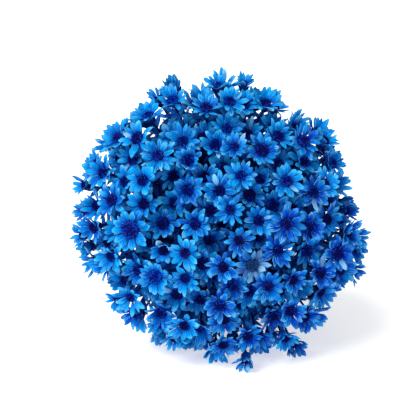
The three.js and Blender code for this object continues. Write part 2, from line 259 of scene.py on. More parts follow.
def clash(face, stalk, faces, stalks):
    margin = 7.5  # mm, more than two balls' radii and the clearance
    low = np.minimum(face.min(0), stalk.min(0))[:3] - margin
    high = np.maximum(face.max(0), stalk.max(0))[:3] + margin
    nearFaces, nearStalks = (near(balls, face[0, 4:], low, high) for balls in (faces, stalks))
    return touch(face, nearFaces) or touch(face, nearStalks) or touch(stalk, nearFaces)


def growFlowers():
    flowers = []
    domePoints = np.empty((0, 3))
    faces, stalks = np.empty((0, 7)), np.empty((0, 7))

    def addFlower(place, width, ownDiscShare=None):
        nonlocal domePoints, faces, stalks
        draws = [nextDraw() for k in range(5)]
        for depth in np.arange(0, bunch["deepest"] + 0.1, bunch["depthStep"]):
            flower = makeFlower(place, width, draws, depth, ownDiscShare)
            face, stalk = ballsOf(flower)
            if not clash(face, stalk, faces, stalks):
                flowers.append(flower)
                domePoints = np.vstack([domePoints, place["point"]])
                faces, stalks = np.vstack([faces, face]), np.vstack([stalks, stalk])
                return

    for across, up, width, *own in landmarks:
        turn = math.atan2(up, across)
        share = math.hypot(across, up) / bunch["headRadius"] / reachTowards(turn)
        addFlower(onDome(offMiddle(share), turn), width, *own)
    for k in range(bunch["tries"]):
        off = math.acos(1 - nextDraw() * (1 - math.cos(bunch["backLean"])))
        turn = 2 * math.pi * nextDraw()
        smaller = 0.75 * math.sqrt(k / bunch["tries"]) + 0.25 * nextDraw()
        place = onDome(off, turn)
        if ((domePoints - place["point"]) ** 2).sum(1).min() >= bunch["flowerGap"] ** 2:
            addFlower(place, flowerForm["large"] + (flowerForm["small"] - flowerForm["large"]) * smaller)
    return flowers


flowers = growFlowers()
print("flowers on the head:", len(flowers))

# Every sprig takes the flowers whose stalks start nearest to its place in the bunch
sprigTurns = np.arange(bunch["sprigs"]) * goldenAngle
sprigOut = np.sqrt((np.arange(bunch["sprigs"]) + 0.5) / bunch["sprigs"])
sprigShares = np.stack([sprigOut * np.cos(sprigTurns), sprigOut * np.sin(sprigTurns)], 1)
sprigEnds, leafTurns = [], []
for share in sprigShares:
    sprigEnds.append(-bunch["tailLength"] + (0 if share[1] < -0.6 else 9 * nextDraw()))
    leafTurns.append(2 * math.pi * nextDraw())
for flower in flowers:
    away = np.hypot(*(sprigShares - flower["share"]).T)
    flower["sprig"] = int(away.argmin())
    flower["lean"] = away.min() * float(bunchRadius(flower["leanPoint"][2]))

rng = np.random.default_rng(7)


# Lets petals lie on the table: a height that nears it shrinks exponentially towards zero
def softFloor(points):
    height = points[..., 2]
    start = 0.0004  # metres
    points[..., 2] = np.where(height < start, start * np.exp(np.minimum(height / start, 1) - 1), height)
    return points


# Closed tubes on a grid. rings[tube, station, side] are points, and first and last close each tube. A ring
# runs anticlockwise seen from the end it travels to, which turns its faces outwards. ringU is the pattern's
# place round a ring, with one number more than it has sides, and alongV its place along the tube.
def tubes(rings, first, last, ringU, alongV, tint):
    count, stations, sides, _ = rings.shape
    points = np.concatenate([rings.reshape(count, -1, 3), first[:, None], last[:, None]], 1)
    size = stations * sides + 2
    station, side = np.meshgrid(np.arange(stations - 1), np.arange(sides), indexing="ij")
    station, side = station.ravel(), side.ravel()
    after = (side + 1) % sides
    quads = np.stack([station * sides + side, station * sides + after,
                      (station + 1) * sides + after, (station + 1) * sides + side], 1)
    low, high = alongV[station], alongV[station + 1]
    u, nextU = ringU[side], ringU[side + 1]
    quadUV = np.stack([u, low, nextU, low, nextU, high, u, high], 1)
    k = np.arange(sides)
    top = (stations - 1) * sides
    fans = np.concatenate([np.stack([(k + 1) % sides, k, 0 * k + size - 2], 1),
                           np.stack([top + k, top + (k + 1) % sides, 0 * k + size - 1], 1)])
    before, later = ringU[:-1], ringU[1:]
    between = (before + later) / 2
    start, end = alongV[0] + 0 * between, alongV[-1] + 0 * between
    fanUV = np.concatenate([np.stack([later, start, before, start, between, start], 1),
                            np.stack([before, end, later, end, between, end], 1)])
    base = (np.arange(count) * size)[:, None, None]
    return {
        "points": points.reshape(-1, 3),
        "quads": (base + quads).reshape(-1, 4),
        "fans": (base + fans).reshape(-1, 3),
        "uv": np.concatenate([np.tile(uv.reshape(-1, 2), (count, 1)) for uv in (quadUV, fanUV)]),
        "tint": np.repeat(tint, size, 0),
    }


def addObject(name, data):
    thing = bpy.data.objects.new(name, data)
    bpy.context.scene.collection.objects.link(thing)
    return thing


# Joins tubes into one piece that stands for a node
def addPiece(name, parts, material, node):
    start, quads, fans = 0, [], []
    for part in parts:
        quads.append(part["quads"] + start)
        fans.append(part["fans"] + start)
        start += len(part["points"])
    uv = np.concatenate([part["uv"][:part["quads"].size] for part in parts]
                        + [part["uv"][part["quads"].size:] for part in parts])
    quads, fans = np.concatenate(quads), np.concatenate(fans)
    points = softFloor(toRoom(np.concatenate([part["points"] for part in parts])))
    mesh = bpy.data.meshes.new(name)
    mesh.vertices.add(len(points))
    mesh.vertices.foreach_set("co", points.ravel())
    corners = np.concatenate([quads.ravel(), fans.ravel()])
    mesh.loops.add(len(corners))
    mesh.loops.foreach_set("vertex_index", corners)
    starts = np.concatenate([np.arange(len(quads)) * 4, quads.size + np.arange(len(fans)) * 3])
    mesh.polygons.add(len(starts))
    mesh.polygons.foreach_set("loop_start", starts)
    mesh.polygons.foreach_set("use_smooth", np.ones(len(starts), bool))
    mesh.uv_layers.new(name="pattern").uv.foreach_set("vector", uv.ravel())
    tint = mesh.attributes.new("tint", "FLOAT_COLOR", "POINT")
    tint.data.foreach_set("color", np.concatenate([part["tint"] for part in parts]).ravel())
    mesh.update(calc_edges=True)
    mesh.materials.append(material)
    piece = addObject(name, mesh)
    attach(piece, "root")
    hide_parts(node)


# An sRGB hex colour as the linear numbers that a node takes
def linear(hexColour):
    srgb = [int(hexColour[k:k + 2], 16) / 255 for k in (1, 3, 5)]
    return [c / 12.92 if c <= 0.04045 else ((c + 0.055) / 1.055) ** 2.4 for c in srgb] + [1]


# Sets a node's inputs, each to a number or a colour, or by a link from an output
def feed(node, inputs):
    for socket, value in inputs.items():
        if isinstance(value, bpy.types.NodeSocket):
            node.id_data.links.new(value, node.inputs[socket])
        else:
            node.inputs[socket].default_value = value


# Adds a node and returns its outputs. Stops are those of a colour ramp.
def addNode(tree, kind, inputs={}, stops=(), **settings):
    node = tree.nodes.new("ShaderNode" + kind)
    for name, value in settings.items():
        setattr(node, name, value)
    feed(node, inputs)
    for k, (position, hexColour) in enumerate(stops):
        element = node.color_ramp.elements[k] if k < 2 else node.color_ramp.elements.new(position)
        element.position = position
        element.color = linear(hexColour)
    return node.outputs


# Returns a material, what adds nodes to it, and its surface shader
def newMaterial(name):
    material = bpy.data.materials.new(name)
    material.use_nodes = True
    tree = material.node_tree
    return material, partial(addNode, tree), tree.nodes["Principled BSDF"]


petalLook = {
    "darkDye": [(0, "#00147a"), (1, "#087cdc"), (0.3, "#0032a8"), (0.75, "#0056c2")],
    "lightDye": [(0, "#0044a4"), (1, "#28b8f6"), (0.3, "#007ed6"), (0.75, "#00a4f0")],
    "fadedEdge": "#70ccfa",
    "undyed": "#a2e0fc",
    # the dark tip colour is painted shade, for tips whose underside is in shade
    "paintedShadeTip": "#06283e",
    "veins": 3,  # across one petal
    "blotch": 2.2,  # mm
    "crinkle": 0.5,  # mm
}


def dyedPetal():
    # Dried ray petals, dyed in a bath: papery and matt, with fine veins, dye pooled at the root, pale worn
    # margins, dark tips of painted shade, and here and there a petal that the dye missed
    material, add, shader = newMaterial("dyedPetal")
    place = add("SeparateXYZ", {0: add("UVMap", uv_map="pattern")[0]})
    across, along = place["X"], place["Y"]
    tint = add("Attribute", attribute_name="tint")
    tints = add("SeparateColor", {0: tint["Color"]})
    spot = add("TexCoord")["Object"]
    blotches = add("TexNoise", {"Vector": spot, "Scale": 1000 / petalLook["blotch"], "Detail": 3})[0]
    # veins: a sine across the petal, bent a little by the blotches
    bent = add("Math", {0: blotches, 1: 0.06, 2: across}, operation="MULTIPLY_ADD")[0]
    turns = add("Math", {0: bent, 1: petalLook["veins"] * 2 * math.pi}, operation="MULTIPLY")[0]
    vein = add("Math", {0: turns}, operation="SINE")[0]
    # the place along the petal, pushed about by blotches and veins, reads the two dye ramps
    pushed = add("Math", {0: blotches, 1: 0.5, 2: along}, operation="MULTIPLY_ADD")[0]
    veined = add("Math", {0: vein, 1: 0.17, 2: pushed}, operation="MULTIPLY_ADD")[0]
    centred = add("Math", {0: veined, 1: 0.25}, operation="SUBTRACT")[0]
    dark = add("ValToRGB", {0: centred}, petalLook["darkDye"])[0]
    light = add("ValToRGB", {0: centred}, petalLook["lightDye"])[0]
    # painted light: the mix from dark to light dye follows the tint's second number, which lightens the dye
    # towards the upper left
    dye = add("Mix", {0: tints["Green"], 6: dark, 7: light}, data_type="RGBA")[2]
    # worn margin: close to either side or to the tip
    off = add("Math", {0: across, 1: 0.5}, operation="SUBTRACT")[0]
    away = add("Math", {0: off}, operation="ABSOLUTE")[0]
    edge = add("MapRange", {"Value": away, "From Min": 0.33, "From Max": 0.47})[0]
    tip = add("MapRange", {"Value": veined, "From Min": 0.85, "From Max": 1.25})[0]
    margin = add("Math", {0: edge, 1: tip}, operation="MAXIMUM")[0]
    worn = add("Math", {0: margin, 1: tints["Red"]}, operation="MULTIPLY")[0]
    patches = add("MapRange", {"Value": blotches, "From Min": 0.38, "From Max": 0.58})[0]
    patchy = add("Math", {0: worn, 1: patches}, operation="MULTIPLY")[0]
    colour = add("Mix", {0: patchy, 6: dye, 7: linear(petalLook["fadedEdge"])}, data_type="RGBA")[2]
    # where the dye missed, and painted shade darkening the tip
    bare = add("Math", {0: veined, 1: tint["Alpha"]}, operation="MULTIPLY", use_clamp=True)[0]
    missed = add("Mix", {0: bare, 6: colour, 7: linear(petalLook["undyed"])}, data_type="RGBA")[2]
    atTip = add("MapRange", {"Value": veined, "From Min": 0.95, "From Max": 1.3})[0]
    tipShade = add("Math", {0: atTip, 1: tints["Blue"]}, operation="MULTIPLY", use_clamp=True)[0]
    withTipShade = add("Mix", {0: tipShade, 6: missed, 7: linear(petalLook["paintedShadeTip"])}, data_type="RGBA")[2]
    crinkle = add("TexNoise", {"Vector": spot, "Scale": 1000 / petalLook["crinkle"], "Detail": 2})[0]
    relief = add("Math", {0: vein, 1: 0.6, 2: crinkle}, operation="MULTIPLY_ADD")[0]
    bump = add("Bump", {"Height": relief, "Strength": 0.35, "Distance": 0.0001})[0]
    feed(shader, {"Base Color": withTipShade, "Normal": bump, "Roughness": 0.75, "Specular IOR Level": 0.03})
    return material


discLook = {
    "dye": [(0, "#000428"), (1, "#0050c4"), (0.35, "#000848"), (0.7, "#00147c")],
    "violetDye": [(0, "#04022c"), (1, "#2c1084"), (0.6, "#10044c")],
    "undyed": "#2c6098",
    "grain": 0.35,  # mm
}


def dyedFlorets():
    # Tight disc florets soaked through with dye: velvety, nearly black navy with violet and blue tips, and
    # greyer where the dye missed
    material, add, shader = newMaterial("dyedFlorets")
    tint = add("Attribute", attribute_name="tint")
    tints = add("SeparateColor", {0: tint["Color"]})
    spot = add("TexCoord")["Object"]
    grain = add("TexNoise", {"Vector": spot, "Scale": 1000 / discLook["grain"], "Detail": 2})[0]
    # the tint's first number holds the floret's tone, with painted light that lightens discs higher up
    spread = add("Math", {0: grain, 1: 0.3, 2: tints["Red"]}, operation="MULTIPLY_ADD")[0]
    centred = add("Math", {0: spread, 1: 0.15}, operation="SUBTRACT")[0]
    blue = add("ValToRGB", {0: centred}, discLook["dye"])[0]
    violet = add("ValToRGB", {0: centred}, discLook["violetDye"])[0]
    colour = add("Mix", {0: tints["Blue"], 6: blue, 7: violet}, data_type="RGBA")[2]
    bare = add("Math", {0: spread, 1: tint["Alpha"]}, operation="MULTIPLY", use_clamp=True)[0]
    missed = add("Mix", {0: bare, 6: colour, 7: linear(discLook["undyed"])}, data_type="RGBA")[2]
    bump = add("Bump", {"Height": grain, "Strength": 0.4, "Distance": 0.0001})[0]
    feed(shader, {"Base Color": missed, "Normal": bump, "Roughness": 0.85, "Specular IOR Level": 0.06})
    return material


stemLook = {
    "dye": [(0, "#000c48"), (1, "#2c8cd4"), (0.36, "#1c0834"), (0.48, "#002484"), (0.72, "#0060c0")],
    "streaks": 9,  # round a stem
    "patch": 6,  # mm
}


def dyedStem():
    # Dried stems, cups and leaves that took the same dye: dark navy and maroon, fibrous, with blue streaks
    material, add, shader = newMaterial("dyedStem")
    across = add("SeparateXYZ", {0: add("UVMap", uv_map="pattern")[0]})["X"]
    tint = add("Attribute", attribute_name="tint")
    tone = add("SeparateColor", {0: tint["Color"]})["Red"]
    spot = add("TexCoord")["Object"]
    patches = add("TexNoise", {"Vector": spot, "Scale": 1000 / stemLook["patch"], "Detail": 4})[0]
    turns = add("Math", {0: across, 1: stemLook["streaks"] * 2 * math.pi}, operation="MULTIPLY")[0]
    streak = add("Math", {0: turns}, operation="SINE")[0]
    mixed = add("Math", {0: streak, 1: 0.08, 2: patches}, operation="MULTIPLY_ADD")[0]
    toned = add("Math", {0: tone, 1: 0.3, 2: mixed}, operation="MULTIPLY_ADD")[0]
    centred = add("Math", {0: toned, 1: 0.15}, operation="SUBTRACT")[0]
    colour = add("ValToRGB", {0: centred}, stemLook["dye"])[0]
    relief = add("Math", {0: streak, 1: 0.5, 2: patches}, operation="MULTIPLY_ADD")[0]
    bump = add("Bump", {"Height": relief, "Strength": 0.4, "Distance": 0.0001})[0]
    feed(shader, {"Base Color": colour, "Normal": bump, "Roughness": 0.8, "Specular IOR Level": 0.12})
    return material


rubberLook = {
    "colours": [(0.3, "#8f6a38"), (0.7, "#c9a46a")],
    "dust": 0.8,  # mm, coarser than real dust so that it shows
}


def naturalRubber():
    # An extruded natural rubber band: tan and slightly dusty, with a soft sheen
    material, add, shader = newMaterial("naturalRubber")
    spot = add("TexCoord")["Object"]
    dust = add("TexNoise", {"Vector": spot, "Scale": 1000 / rubberLook["dust"], "Detail": 5})[0]
    colour = add("ValToRGB", {0: dust}, rubberLook["colours"])[0]
    roughness = add("MapRange", {"Value": dust, "To Min": 0.4, "To Max": 0.75})[0]
    bump = add("Bump", {"Height": dust, "Strength": 0.25, "Distance": 0.0001})[0]
    feed(shader, {"Base Color": colour, "Normal": bump, "Roughness": roughness,
                        "Specular IOR Level": 0.45})
    return material


petalMaterial, floretMaterial = dyedPetal(), dyedFlorets()
stemMaterial, rubberMaterial = dyedStem(), naturalRubber()
print("materials made:", len(bpy.data.materials))

# A thin blade's section, anticlockwise from its left edge: place across from -1 to 1, and side of the blade
bladeAcross = np.array([1, 0.55, 0, -0.55, -1, -0.55, 0, 0.55])
bladeSide = np.array([0, 1, 1, 1, 0, -1, -1, -1])
bladeU = np.append((bladeAcross + 1) / 2, (bladeAcross[0] + 1) / 2)


# Blades that grow from root along out, and rise towards lift by an angle that changes on the way. The path is
# summed from that angle. Each outline is raised to its own power, so some end sharper, and swells by a sine.
# The section is cupped by the square of the place across, with a groove along the middle.
def blades(form, root, out, lift, angle, length, width, tint):
    stations = np.array(form["stations"])
    outline = np.array(form["outline"])
    ends = np.concatenate([[0], stations, [1]])
    steps = np.diff(ends)
    middles = (ends[:-1] + ends[1:]) / 2
    count = len(root)
    curl = form["curl"] + form["curlSpread"] * (rng.random(count) - 0.5)
    steepness = angle[:, None] + curl[:, None] * (middles - 0.5)
    ahead = np.cumsum(np.cos(steepness) * steps, 1) * length[:, None]
    above = np.cumsum(np.sin(steepness) * steps, 1) * length[:, None]
    path = root[:, None] + out[:, None] * ahead[..., None] + lift[:, None] * above[..., None]
    left = np.cross(lift, out)[:, None]
    sway = form["sway"] * (rng.random(count) - 0.5)[:, None] * length[:, None]
    path = path + left * (sway * np.append(stations, 1) ** 2)[..., None]
    slope = angle[:, None] + curl[:, None] * (stations - 0.5)
    face = lift[:, None] * np.cos(slope)[..., None] - out[:, None] * np.sin(slope)[..., None]
    twist = (form["twist"] * (rng.random(count) - 0.5)[:, None] * stations)[..., None]
    wide = left * np.cos(twist) + face * np.sin(twist)
    high = face * np.cos(twist) - left * np.sin(twist)
    power = 1 + form["sharp"] * (rng.random((count, 1)) - 0.35)
    swell = 1 + form["swell"] * np.sin(2 * math.pi * (1.7 * stations + rng.random((count, 1))))
    half = (width[:, None] / 2 * outline ** power * swell)[..., None]
    cup = form["cup"] * half * bladeAcross ** 2
    groove = form["groove"] * half * np.sin(np.pi * np.abs(bladeAcross)) ** 2
    thick = form["thickness"] / 2 * np.array(form["body"])[:, None] * bladeSide
    rings = (path[:, :-1, None] + wide[:, :, None] * (half * bladeAcross)[..., None]
             + high[:, :, None] * (cup + groove + thick)[..., None])
    return tubes(rings, root, path[:, -1], bladeU, stations, tint)


# For each form that a flower owns: its flower's values, and the way out from the flower's middle at its turn
def ownValues(some, owner, *keys):
    return (np.array([flower[key] for flower in some])[owner] for key in keys)


def outFrom(some, owner, turn):
    crossed = np.array([crossAxes(flower["normal"]) for flower in some])[owner]
    return crossed[:, 0] * np.cos(turn)[:, None] + crossed[:, 1] * np.sin(turn)[:, None]


def stemTint(tone):  # the stem material reads the first of a tint's four numbers alone
    return np.repeat(tone[:, None], 4, 1)


petalForm = {
    "stations": [0.08, 0.3, 0.55, 0.76, 0.9, 0.975],
    "outline": [0.5, 0.84, 1.0, 0.87, 0.56, 0.27],
    "body": [1.6, 1.2, 1.0, 0.9, 0.8, 0.7],  # of the thickness
    "thickness": 0.22,
    "sharp": 0.9,
    "swell": 0.1,
    "cup": 0.2,
    "groove": 0.12,
    "curl": 0.1,
    "curlSpread": 1.5,
    "sway": 0.28,
    "twist": 1.3,
    "width": 0.187,  # of the flower's width
    "widthSpread": 0.5,
    "stretch": 1.4,  # a fine petal's length as a share of a coarse one's
    "rimStretch": 0.06,  # more where the dome falls away, by the square of the angle off its middle
    "underDisc": 0.9,  # where it starts, as a share of the disc's radius
    "rootHeight": -0.3,
    "rowLift": 0.25,
    "rowOpen": math.radians(8),
    "rowShort": 0.9,
    "looseTurn": 0.6,  # of the turn from one petal to the next
    "looseOpen": 0.6,
    "shorter": 0.28,
    "toneSpread": 0.7,
    "paleTo": -0.5,  # the side that the dye missed on the pale flower, in radians from the right
    "missed": 0.65,  # how much dye a petal misses, and how many petals do
    "missedShare": 0.025,
}


# The petals of several flowers, in two rows that take turns round the disc. A petal's turn is its order's
# share of the round, plus chance. Its angle is the flower's own opening, plus more in the inner row, plus
# chance, plus the cosine of the turn away from the side that the flower is blown open to.
def petalsOf(some):
    counts = [12 + int(4 * rng.random() + (flower["width"] > 12.5)) for flower in some]
    owner = np.repeat(np.arange(len(some)), counts)
    order = np.concatenate([np.arange(count) for count in counts])
    middle, normal, disc, reach, opening, flowerWidth, off = ownValues(
        some, owner, "middle", "normal", "disc", "reach", "open", "width", "off")
    spin, firstPetal, glow, pale, shut, blown, blownTo = ownValues(
        some, owner, "spin", "firstPetal", "glow", "pale", "shut", "blown", "blownTo")
    count, inner = len(owner), order % 2
    free = order > 0  # the first petal isn't, as it may rest on the table
    loose = free * (rng.random(count) - 0.5)
    total = np.array(counts)[owner]
    turn = spin + firstPetal + (order + petalForm["looseTurn"] * loose) * 2 * math.pi / total
    out = outFrom(some, owner, turn)
    underDisc = petalForm["underDisc"]
    root = middle + out * (disc * underDisc)[:, None]
    root = root + normal * (petalForm["rootHeight"] + petalForm["rowLift"] * inner)[:, None]
    angle = opening + shut + petalForm["rowOpen"] * inner
    looseOpen = petalForm["looseOpen"] * (rng.random(count) - 0.5)
    angle = angle + free * (looseOpen + blown * np.cos(turn - blownTo))
    stretch = petalForm["stretch"] * (1 + petalForm["rimStretch"] * off ** 2)
    length = reach * stretch + disc * (1 - underDisc)
    length = length * (1 - (1 - petalForm["rowShort"]) * inner)
    length = length * (1 - petalForm["shorter"] * free * rng.random(count))
    # a petal that would reach below the table is shorter, and ends on it
    rootHeight = bunch["bandHeight"] + root @ tableUp
    fall = -(out @ tableUp * np.cos(angle) + normal @ tableUp * np.sin(angle)) * length
    length = length * np.clip(rootHeight / np.maximum(fall, 0.1), 0.6, 1)
    width = flowerWidth * petalForm["width"] * (0.75 + petalForm["widthSpread"] * rng.random(count))
    # tint: how worn the margin is, how light the dye is with painted light towards the upper left, how much
    # painted shade darkens the tip, and how much the dye missed
    tone = np.clip(glow + petalForm["toneSpread"] * (rng.random(count) - 0.5), 0, 1)
    towards = pale * (0.5 + 0.5 * np.cos(turn - petalForm["paleTo"]))
    missed = np.maximum(towards, petalForm["missed"] * (rng.random(count) < petalForm["missedShare"]))
    missed = missed * (0.5 + 0.5 * rng.random(count))
    # painted shade at the tips of some petals
    paintedShadeTip = np.maximum(rng.random(count) * 2 - 1.1, 0)
    tint = np.stack([0.35 + 0.65 * rng.random(count), tone, paintedShadeTip, missed], 1)
    return blades(petalForm, root, out, normal, angle, length, width, tint)


# The points of a circle round each place, in the plane of its side and up directions
def circlesOf(side, up, sides):
    turn = evenTurns(sides)
    return side[..., None, :] * np.cos(turn)[:, None] + up[..., None, :] * np.sin(turn)[:, None]


# Tubes with their pattern laid evenly round and along them
def evenTubes(rings, first, last, tint):
    around = np.arange(rings.shape[2] + 1) / rings.shape[2]
    return tubes(rings, first, last, around, np.linspace(0, 1, rings.shape[1]), tint)


# Turned forms: a circle of the profile's radius at each height along an axis, and a point at each end
def turned(middles, axes, radii, heights, sides, tint):
    sideAxes = np.array([crossAxes(axis)[0] for axis in axes])
    circle = circlesOf(sideAxes, np.cross(axes, sideAxes), sides)[:, None]
    at = middles[:, None] + axes[:, None] * heights[:, 1:-1, None]
    rings = at[:, :, None] + circle * radii[..., None, None]
    first = middles + axes * heights[:, :1]
    last = middles + axes * heights[:, -1:]
    return evenTubes(rings, first, last, tint)


discForm = {
    "profileRadius": [0.7, 1.0, 0.9, 0.62, 0.3],  # of the disc's radius
    "profileHeight": [-0.5, -0.35, 0.3, 0.62, 0.95, 1.12, 1.15],  # mm above the flower's middle
    "sides": 14,
    "floretSpacing": 0.66,  # mm
    "floretHeight": 0.5,
    "crowd": 1.15,  # florets to each square of the spacing
    "rim": 0.96,  # where the outermost floret stands, as a share of the disc's radius
    "domeHeight": 1.12,
    "rimFall": 0.75,
    "middleDip": 0.25,
    "dipWidth": 0.3,  # of the disc's radius
    "floretRadius": [0.8, 1.0],  # of the floret's own radius
    "floretProfile": [-0.5, -0.3, 0.3, 0.62],  # of its height
    "floretSides": 5,
    "leastFlorets": 20,
}


# The discs of several flowers: a turned dome, and florets on it, each at the golden angle from the last and
# at the square root of its order's share of the radius. Their height falls with the cube of that, and dips in
# a bell curve at the middle.
def discsOf(some):
    everyOne = np.arange(len(some))
    # dark holds each disc's tone, with painted light that lightens it higher up
    middle, normal, disc, dark, violet, pale = ownValues(
        some, everyOne, "middle", "normal", "disc", "discTone", "violet", "pale")
    tint = np.stack([dark * 0.4, dark, violet, pale], 1)
    heights = np.tile(discForm["profileHeight"], (len(some), 1))
    radii = disc[:, None] * np.array(discForm["profileRadius"])
    base = turned(middle, normal, radii, heights, discForm["sides"], tint)
    counts = (math.pi * disc ** 2 / discForm["floretSpacing"] ** 2 * discForm["crowd"]).astype(int)
    counts = np.maximum(counts, discForm["leastFlorets"])
    owner = np.repeat(everyOne, counts)
    order = np.concatenate([np.arange(count) for count in counts])
    share = np.sqrt((order + 0.5) / counts[owner])
    out = outFrom(some, owner, order * goldenAngle)
    radius = disc[owner] * share * discForm["rim"]
    dip = discForm["middleDip"] * np.exp(-(share / discForm["dipWidth"]) ** 2)
    height = discForm["domeHeight"] - discForm["rimFall"] * share ** 3 - dip
    at = middle[owner] + out * radius[:, None] + normal[owner] * height[:, None]
    nod = 0.12 * (rng.random((len(owner), 3)) - 0.5)
    axes = unit(normal[owner] + out * (0.75 * share ** 2)[:, None] + nod)
    size = discForm["floretSpacing"] * (0.42 + 0.12 * rng.random(len(owner)) + 0.06 * share)
    tall = discForm["floretHeight"] * (0.8 + 0.4 * rng.random(len(owner)))
    tone = 0.15 + 0.55 * share ** 2 + 0.65 * (rng.random(len(owner)) - 0.45) + 0.3 * dark[owner]
    violets = violet[owner] * rng.random(len(owner))
    floretTint = np.stack([np.clip(tone, 0, 1), dark[owner], violets, pale[owner]], 1)
    florets = turned(at, axes, size[:, None] * np.array(discForm["floretRadius"]),
                     tall[:, None] * np.array(discForm["floretProfile"]), discForm["floretSides"], floretTint)
    return [base, florets]


cupForm = {
    "profileRadius": [0.93, 1.0, 0.86, 0.6, 0.34],  # of the disc's radius, from the rim down
    "profileDepth": [0.2, 0.35, 1.0, 2.0, 3.3, 4.6, 5.0],  # mm below the flower's middle
    "foot": 0.6,  # mm, its radius where it meets the stalk
    "sides": 12,
    "bracts": 8,  # in each row
}
bractForm = {
    "stations": [0.15, 0.45, 0.75, 0.93],
    "outline": [0.7, 1.0, 0.8, 0.4],
    "body": [1.2, 1.0, 0.8, 0.6],
    "thickness": 0.22,
    "sharp": 0.4,
    "swell": 0.05,
    "cup": -0.3,
    "groove": 0.0,
    "curl": 0.5,
    "curlSpread": 0.3,
    "sway": 0.05,
    "twist": 0.2,
    "lean": math.radians(58),
    "length": 2.9,
    "width": 0.62,  # of the disc's radius
}


# The cup behind each flower: a turned form, with two rows of narrow bracts evenly round it
def cupsOf(some):
    everyOne = np.arange(len(some))
    middle, normal, disc = ownValues(some, everyOne, "middle", "normal", "disc")
    tint = stemTint(rng.random((3, len(some)))[0])
    radii = disc[:, None] * np.array(cupForm["profileRadius"])
    radii[:, -1] = cupForm["foot"]
    depths = np.tile(cupForm["profileDepth"], (len(some), 1))
    cup = turned(middle, -normal, radii, depths, cupForm["sides"], tint)
    bracts = cupForm["bracts"]
    owner = np.repeat(everyOne, 2 * bracts)
    order = np.tile(np.arange(2 * bracts), len(some))
    low = order % 2
    out = outFrom(some, owner, order * math.pi / bracts)
    root = middle[owner] + out * (0.45 * disc[owner] - 0.15 * low)[:, None]
    root = root - normal[owner] * (3.0 + 0.9 * low)[:, None]
    angle = bractForm["lean"] + 0.25 * (rng.random(len(owner)) - 0.5)
    length = bractForm["length"] - 0.5 * low + 0.3 * rng.random(len(owner))
    width = disc[owner] * bractForm["width"]
    bractTint = stemTint(0.3 + 0.7 * rng.random(len(owner)))
    return [cup, blades(bractForm, root, out, normal[owner], angle, length, width, bractTint)]


# Rods along paths[rod, station], with a circle square to the path at each point, whose first direction is the
# cross product of a fixed one and the path's own
def rods(paths, radii, sides, tint):
    along = unit(np.gradient(paths, axis=1))
    start = np.where(np.abs(along[:, :1, 1:2]) > 0.9, [[[1.0, 0, 0]]], [[[0.0, 1, 0]]])
    side = unit(np.cross(start, along))
    circle = circlesOf(side, np.cross(along, side), sides)
    rings = paths[:, :, None] + circle * radii[..., None, None]
    first = paths[:, 0] - along[:, 0] * radii[:, :1] * 0.3
    last = paths[:, -1] + along[:, -1] * radii[:, -1:] * 0.3
    return evenTubes(rings, first, last, tint)


stemForm = {
    "radius": 0.92,
    "topRadius": 0.7,
    "stalkRadius": 0.48,
    "stalkWidens": 1.15,
    "stations": 44,
    "bend": 5.0,  # mm on either side of a stalk's bend
    "tone": 0.35,  # how far the lighter dye reaches on stems
    "leafPlace": 96,
    "leafLength": 13,
    "leafWidth": 2.4,
    "leafOpen": math.radians(70),
}
leafForm = {
    "stations": [0.06, 0.25, 0.5, 0.75, 0.93],
    "outline": [0.35, 0.85, 1.0, 0.7, 0.28],
    "body": [1.4, 1.2, 1.0, 0.8, 0.6],
    "thickness": 0.35,
    "sharp": 0.6,
    "swell": 0.1,
    "cup": 0.35,
    "groove": -0.1,
    "curl": -0.5,
    "curlSpread": 0.4,
    "sway": 0.1,
    "twist": 0.9,
}


# How far along the bunch a stalk meets its stem: the further it leans, the lower
def jointHeight(flower):
    return flower["leanPoint"][2] - 6 - 1.1 * flower["lean"]


# Where each stalk starts under its flower, where it bends, and where it meets the stem
def stalkPoints(some, share):
    joint = np.array([onFlow(share, np.float64(jointHeight(flower))) for flower in some])
    return *ownValues(some, slice(None), "stalkTop", "leanPoint"), joint


# Two straight runs joined by a quadratic Bezier curve at the bend
def stalksOf(some, share):
    top, bend, joint = stalkPoints(some, share)
    down, back = bend - top, joint - bend
    nearTop = bend - down * np.minimum(stemForm["bend"] / np.sqrt((down ** 2).sum(1)), 0.5)[:, None]
    nearJoint = bend + back * np.minimum(stemForm["bend"] / np.sqrt((back ** 2).sum(1)), 0.5)[:, None]
    t = np.linspace(0, 1, 5)[:, None]
    curve = ((1 - t) ** 2 * nearTop[:, None] + 2 * t * (1 - t) * bend[:, None] + t ** 2 * nearJoint[:, None])
    straight = top[:, None] + (nearTop - top)[:, None] * np.array([0, 0.35, 0.7])[:, None]
    last = nearJoint[:, None] + (joint - nearJoint)[:, None] * np.array([0.5, 1])[:, None]
    paths = np.concatenate([straight, curve, last], 1)
    foot = stemForm["stalkRadius"] * stemForm["stalkWidens"]
    radii = np.tile(np.linspace(stemForm["stalkRadius"], foot, paths.shape[1]), (len(some), 1))
    return rods(paths, radii, 6, stemTint(rng.random(len(some))))


# A stem follows the bunch's flow from its cut end to its top, and thins evenly
def stemOf(share, end, top):
    places = np.linspace(end, top, stemForm["stations"])
    path = onFlow(share, places)[None]
    radii = np.linspace(stemForm["radius"], stemForm["topRadius"], stemForm["stations"])[None]
    return rods(path, radii, 8, stemTint(stemForm["tone"] * rng.random(1)))


leafletForm = leafForm | {
    "stations": [0.08, 0.35, 0.65, 0.9],
    "outline": [0.42, 0.95, 0.9, 0.34],
    "body": [1.4, 1.1, 0.9, 0.6],
    "perStalk": 20,
    "perStem": 28,
    "downStem": 70,  # mm below the stem's top
    "length": 9.5,
    "width": 2.4,
    "leastOpen": 0.05,
    "openSpread": 0.75,
    "belowFlower": 6,
    "paintedLightOut": 1.1,  # how much painted light lightens them near the head's surface, so the deeper ones keep painted shade
}


